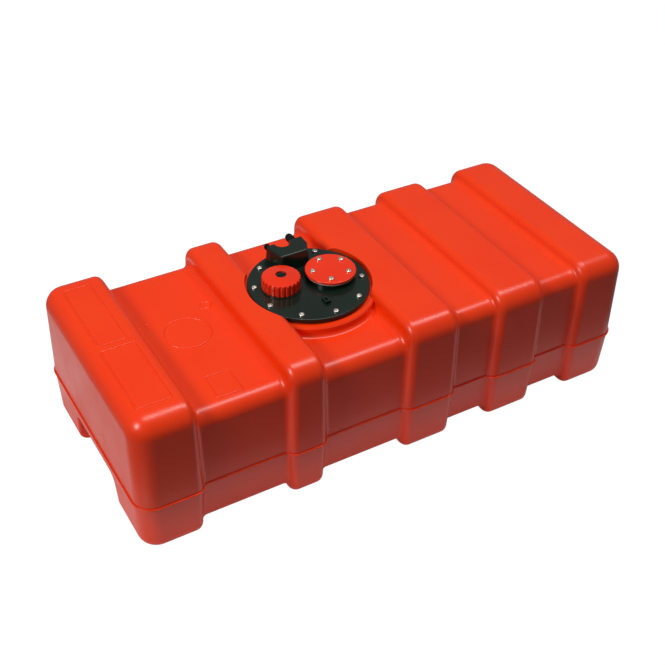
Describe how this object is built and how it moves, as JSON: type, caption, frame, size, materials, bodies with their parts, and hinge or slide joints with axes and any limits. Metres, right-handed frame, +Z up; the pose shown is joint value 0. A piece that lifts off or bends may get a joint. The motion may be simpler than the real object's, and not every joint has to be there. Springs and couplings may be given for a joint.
{
  "type": "boat fuel tank",
  "caption": "Hollow moulded fuel tank for a small boat, ribbed by strap recesses, with a bolted service plate that carries a screw cap, a blanked gauge hole and hose outlets.",
  "frame": {"origin": "middle of the face that the tank rests on", "axes": "+X along the tank, away from the end with the wider recesses; +Z up; hose outlets point to +Y"},
  "size_m": [0.8, 0.354, 0.2475],
  "materials": {
    "tank_red": "moulded, semi-gloss",
    "cap_red": "moulded, semi-gloss",
    "black_plastic": "moulded, satin",
    "stainless": "machined",
    "brass": "machined",
    "seal_rubber": "plain",
    "pale_gasket": "plain",
    "white_plastic": "plain"
  },
  "bodies": {
    "tank": {"tank_body": "tank_red", "flange_inserts": "brass", "flange_gasket": "seal_rubber", "flange_plate": "black_plastic", "flange_screws": "stainless", "gauge_cover": "cap_red", "gauge_cover_gasket": "pale_gasket", "gauge_cover_screws": "stainless", "gauge_inserts": "brass", "hose_block": "black_plastic", "hose_block_seal": "seal_rubber", "hose_block_nut": "black_plastic", "outlet_barb": "black_plastic", "outlet_barb_seal": "seal_rubber", "breather_barb": "black_plastic", "breather_barb_seal": "seal_rubber", "pickup_tube": "white_plastic", "pickup_strainer": "stainless"},
    "cap_seal": {"cap_gasket": "seal_rubber"},
    "cap_rise": {"cap_slip_ring": "white_plastic"},
    "cap": {"filler_cap": "cap_red", "cap_insert": "black_plastic", "vent_seal": "seal_rubber"},
    "vent": {"vent_plug": "black_plastic", "vent_clip": "stainless"}
  },
  "joints": [
    {"name": "cap_lift_off", "type": "slide", "parent": "tank", "child": "cap_seal", "axis": [0, 0, 1], "range_m": [0, 0.12]},
    {"name": "cap_thread_lift", "type": "slide", "parent": "cap_seal", "child": "cap_rise", "axis": [0, 0, 1], "range_m": [0, 0.0102]},
    {"name": "cap_turn", "type": "hinge", "parent": "cap_rise", "child": "cap", "pos_m": [-0.0955, 0.009, 0.2365], "axis": [0, 0, 1], "range_deg": [0, 900]},
    {"name": "vent_turn", "type": "hinge", "parent": "cap", "child": "vent", "pos_m": [-0.0955, 0.009, 0.24], "axis": [0, 0, 1], "range_deg": [0, 90]}
  ],
  "couplings": [
    {"joint": "cap_thread_lift", "follows": "cap_turn", "m_per_rad": 0.00063662}
  ]
}
